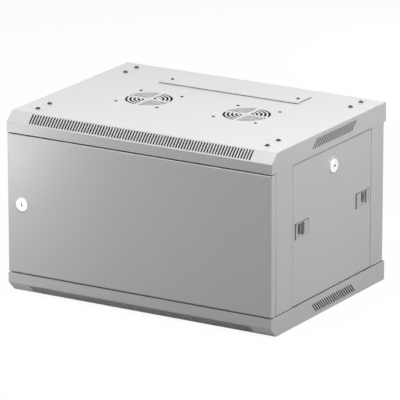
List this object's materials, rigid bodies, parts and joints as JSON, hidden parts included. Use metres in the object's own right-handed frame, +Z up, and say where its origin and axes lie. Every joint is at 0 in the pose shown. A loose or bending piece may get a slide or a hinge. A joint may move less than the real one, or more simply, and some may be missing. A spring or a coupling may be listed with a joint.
{
  "type": "wall mount network cabinet",
  "caption": "Wall mount network cabinet: folded steel covers with vents, swing door, tilting side panels, key locks, slide latches and rack rails that shift in depth.",
  "frame": {"origin": "middle of the underside of the bottom cover", "axes": "+X along the front towards the hinge side, +Y from the door to the wall, +Z up"},
  "size_m": [0.6082, 0.4515, 0.3723],
  "materials": {
    "cabinet_paint": "fine textured light grey powder coat, satin",
    "zinc_steel": "zinc plated",
    "screw_steel": "zinc plated, bright",
    "lock_chrome": "polished",
    "latch_plastic": "matte light grey"
  },
  "bodies": {
    "cabinet": {"top_cover": "cabinet_paint", "bottom_cover": "cabinet_paint", "top_cable_cover": "cabinet_paint", "bottom_cable_cover": "cabinet_paint", "top_cable_cover_screws": "screw_steel", "top_frame_screws": "screw_steel", "rear_panel": "cabinet_paint", "front_post_right": "cabinet_paint", "front_post_left": "cabinet_paint", "rear_post_right": "cabinet_paint", "rear_post_left": "cabinet_paint", "lower_depth_rail_right": "zinc_steel", "lower_depth_rail_left": "zinc_steel", "upper_depth_rail_right": "zinc_steel", "upper_depth_rail_left": "zinc_steel"},
    "door": {"door_panel": "cabinet_paint", "door_stiffener": "cabinet_paint", "hinge_bracket": "zinc_steel", "lower_hinge_pin": "zinc_steel", "door_lock_housing": "lock_chrome", "door_lock_clip": "zinc_steel"},
    "door_lock": {"door_lock_plug": "lock_chrome", "door_lock_cam": "zinc_steel"},
    "upper_hinge_pin": {"upper_hinge_pin": "zinc_steel"},
    "side_panel_right": {"side_panel_right": "cabinet_paint", "side_lock_housing_right": "lock_chrome", "side_lock_clip_right": "zinc_steel", "front_latch_housing_right": "latch_plastic", "rear_latch_housing_right": "latch_plastic"},
    "side_lock_right": {"side_lock_plug_right": "lock_chrome", "side_lock_cam_right": "zinc_steel"},
    "front_latch_right": {"front_latch_slider_right": "latch_plastic", "front_latch_bolt_right": "zinc_steel"},
    "rear_latch_right": {"rear_latch_slider_right": "latch_plastic", "rear_latch_bolt_right": "zinc_steel"},
    "front_rack_rail_right": {"front_rack_rail_right": "zinc_steel", "front_rack_bolts_right": "zinc_steel"},
    "rear_rack_rail_right": {"rear_rack_rail_right": "zinc_steel", "rear_rack_bolts_right": "zinc_steel"},
    "side_panel_left": {"side_panel_left": "cabinet_paint", "side_lock_housing_left": "lock_chrome", "side_lock_clip_left": "zinc_steel", "front_latch_housing_left": "latch_plastic", "rear_latch_housing_left": "latch_plastic"},
    "side_lock_left": {"side_lock_plug_left": "lock_chrome", "side_lock_cam_left": "zinc_steel"},
    "front_latch_left": {"front_latch_slider_left": "latch_plastic", "front_latch_bolt_left": "zinc_steel"},
    "rear_latch_left": {"rear_latch_slider_left": "latch_plastic", "rear_latch_bolt_left": "zinc_steel"},
    "front_rack_rail_left": {"front_rack_rail_left": "zinc_steel", "front_rack_bolts_left": "zinc_steel"},
    "rear_rack_rail_left": {"rear_rack_rail_left": "zinc_steel", "rear_rack_bolts_left": "zinc_steel"}
  },
  "joints": [
    {"name": "door_swing", "type": "hinge", "parent": "cabinet", "child": "door", "pos_m": [0.293, -0.2185, 0.184], "axis": [0, 0, 1], "range_deg": [0, 180]},
    {"name": "door_lock_turn", "type": "hinge", "parent": "door", "child": "door_lock", "pos_m": [-0.266, -0.225, 0.184], "axis": [0, 1, 0], "range_deg": [0, 90]},
    {"name": "upper_hinge_pin_draw", "type": "slide", "parent": "door", "child": "upper_hinge_pin", "axis": [0, 0, 1], "range_m": [-0.0105, 0], "stiffness_N_per_m": 600, "springref_m": 0.005},
    {"name": "side_panel_tilt_right", "type": "hinge", "parent": "cabinet", "child": "side_panel_right", "pos_m": [0.2986, 0.0135, 0.0409], "axis": [0, 1, 0], "range_deg": [0, 25]},
    {"name": "side_lock_turn_right", "type": "hinge", "parent": "side_panel_right", "child": "side_lock_right", "pos_m": [0.2986, 0.0135, 0.289], "axis": [1, 0, 0], "range_deg": [0, 90]},
    {"name": "front_latch_slide_right", "type": "slide", "parent": "side_panel_right", "child": "front_latch_right", "axis": [0, -1, 0], "range_m": [0, 0.008]},
    {"name": "rear_latch_slide_right", "type": "slide", "parent": "side_panel_right", "child": "rear_latch_right", "axis": [0, 1, 0], "range_m": [0, 0.008]},
    {"name": "front_rack_rail_shift_right", "type": "slide", "parent": "cabinet", "child": "front_rack_rail_right", "axis": [0, 1, 0], "range_m": [-0.02, 0.07]},
    {"name": "rear_rack_rail_shift_right", "type": "slide", "parent": "cabinet", "child": "rear_rack_rail_right", "axis": [0, 1, 0], "range_m": [-0.09, 0.05]},
    {"name": "side_panel_tilt_left", "type": "hinge", "parent": "cabinet", "child": "side_panel_left", "pos_m": [-0.2986, 0.0135, 0.0409], "axis": [0, -1, 0], "range_deg": [0, 25]},
    {"name": "side_lock_turn_left", "type": "hinge", "parent": "side_panel_left", "child": "side_lock_left", "pos_m": [-0.2986, 0.0135, 0.289], "axis": [1, 0, 0], "range_deg": [0, 90]},
    {"name": "front_latch_slide_left", "type": "slide", "parent": "side_panel_left", "child": "front_latch_left", "axis": [0, -1, 0], "range_m": [0, 0.008]},
    {"name": "rear_latch_slide_left", "type": "slide", "parent": "side_panel_left", "child": "rear_latch_left", "axis": [0, 1, 0], "range_m": [0, 0.008]},
    {"name": "front_rack_rail_shift_left", "type": "slide", "parent": "cabinet", "child": "front_rack_rail_left", "axis": [0, 1, 0], "range_m": [-0.02, 0.07]},
    {"name": "rear_rack_rail_shift_left", "type": "slide", "parent": "cabinet", "child": "rear_rack_rail_left", "axis": [0, 1, 0], "range_m": [-0.09, 0.05]}
  ]
}
